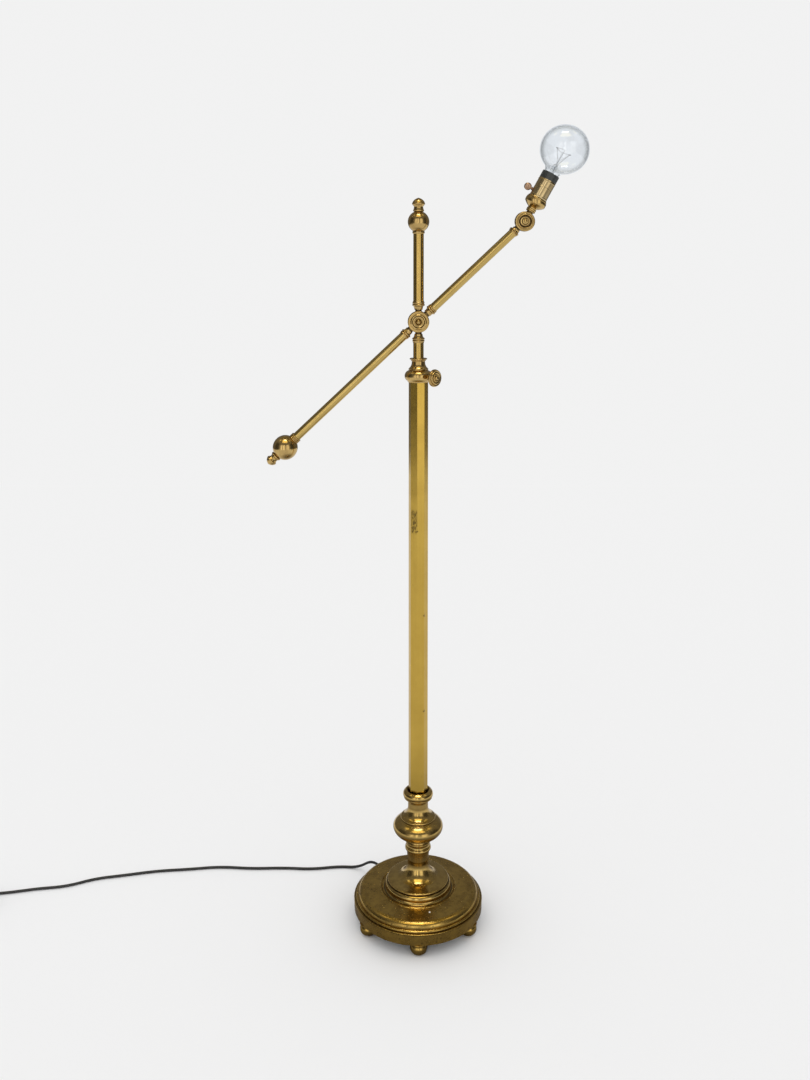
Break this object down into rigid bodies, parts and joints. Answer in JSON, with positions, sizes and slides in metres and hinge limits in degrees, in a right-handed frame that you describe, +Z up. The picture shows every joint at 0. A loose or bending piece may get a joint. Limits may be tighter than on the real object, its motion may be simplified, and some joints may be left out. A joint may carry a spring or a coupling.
{
  "type": "bridge floor lamp",
  "caption": "Brass floor lamp with a round beaded base on ball feet, turned stem, eight-sided column, rising mast, balanced tilting arm, jointed lamp holder and clear globe bulb.",
  "frame": {"origin": "on the floor, at the middle of the circle of ball feet, on the column's axis", "axes": "+Z up along the column, +X to the side where the lamp head stands, -Y to the front, where the knuckles' caps show"},
  "size_m": [1.2255, 0.2772, 1.4812],
  "materials": {
    "base_brass": "aged lacquered brass, darker",
    "column_brass": "satin brass",
    "turned_brass": "polished turned brass",
    "bearing_brass": "plain brass",
    "iron": "raw cast",
    "steel": "zinc plated",
    "black_moulding": "moulded black",
    "fibre": "red fibre",
    "cord_black": "matt black",
    "copper_brass": "worn coppery",
    "blade_brass": "plain",
    "cap_metal": "bright",
    "clear_glass": "clear",
    "wire": "drawn wire"
  },
  "bodies": {
    "base": {"base_shell": "base_brass", "base_weight": "iron", "bottom_plate": "steel", "ball_feet": "base_brass", "foot_screws": "steel", "stem_pedestal": "base_brass", "neck_ring": "base_brass", "stem_bulb": "base_brass", "column_cup": "base_brass", "tie_pipe": "steel", "tie_nut": "steel", "column": "column_brass", "column_plug": "bearing_brass", "column_collar": "turned_brass", "clamp_pad": "bearing_brass", "cord_bushing": "cord_black", "base_flex": "cord_black", "cord": "cord_black", "cord_coil": "cord_black", "plug_body": "black_moulding", "plug_blades": "blade_brass"},
    "thumb_screw": {"thumb_screw": "turned_brass"},
    "guide": {"slide_guide": "bearing_brass"},
    "mast": {"guide_stops": "bearing_brass", "mast_tube": "column_brass", "mast_cups": "turned_brass", "pivot_rear": "turned_brass", "upper_mast_tube": "column_brass", "mast_ring": "turned_brass", "mast_ball": "turned_brass", "mast_finial": "turned_brass", "mast_flex": "cord_black"},
    "arm": {"pivot_front": "turned_brass", "pivot_washer": "fibre", "pivot_cap": "turned_brass", "pivot_screw": "turned_brass", "arm_cups": "turned_brass", "lamp_arm_tube": "column_brass", "counter_arm_tube": "column_brass", "counterweight_ferrule": "turned_brass", "counterweight_ball": "turned_brass", "counterweight_finial": "turned_brass", "elbow_rear": "turned_brass", "arm_flex": "cord_black"},
    "head": {"elbow_front": "turned_brass", "elbow_washer": "fibre", "elbow_cap": "turned_brass", "elbow_screw": "turned_brass", "socket_cap": "turned_brass", "socket_shell": "turned_brass", "socket_sleeve": "black_moulding", "socket_core": "black_moulding", "socket_contacts": "bearing_brass", "head_flex": "cord_black"},
    "key": {"switch_key": "copper_brass"},
    "bulb": {"bulb_cap": "cap_metal", "bulb_contact": "black_moulding", "bulb_glass": "clear_glass", "glass_stem": "clear_glass", "filament": "wire"}
  },
  "joints": [
    {"name": "height_slide", "type": "slide", "parent": "base", "child": "guide", "axis": [0, 0, 1], "range_m": [-0.024, 0.345]},
    {"name": "mast_swivel", "type": "hinge", "parent": "guide", "child": "mast", "pos_m": [0, 0, 0.632], "axis": [0, 0, 1], "range_deg": [-170, 170]},
    {"name": "clamp_turn", "type": "hinge", "parent": "base", "child": "thumb_screw", "pos_m": [0.01439, -0.01389, 1.026], "axis": [0.7193, -0.6947, 0], "range_deg": [0, 720]},
    {"name": "arm_tilt", "type": "hinge", "parent": "mast", "child": "arm", "pos_m": [0, 0, 1.126], "axis": [0, 1, 0], "range_deg": [-5, 90]},
    {"name": "head_tilt", "type": "hinge", "parent": "arm", "child": "head", "pos_m": [0.19182, 0, 1.30739], "axis": [0, 1, 0], "range_deg": [-75, 95]},
    {"name": "key_turn", "type": "hinge", "parent": "head", "child": "key", "pos_m": [0.20214, 0, 1.36768], "axis": [-0.8763, 0, 0.4818], "continuous": true},
    {"name": "bulb_withdraw", "type": "slide", "parent": "head", "child": "bulb", "axis": [0.4818, 0, 0.8763], "range_m": [0, 0.045]}
  ]
}
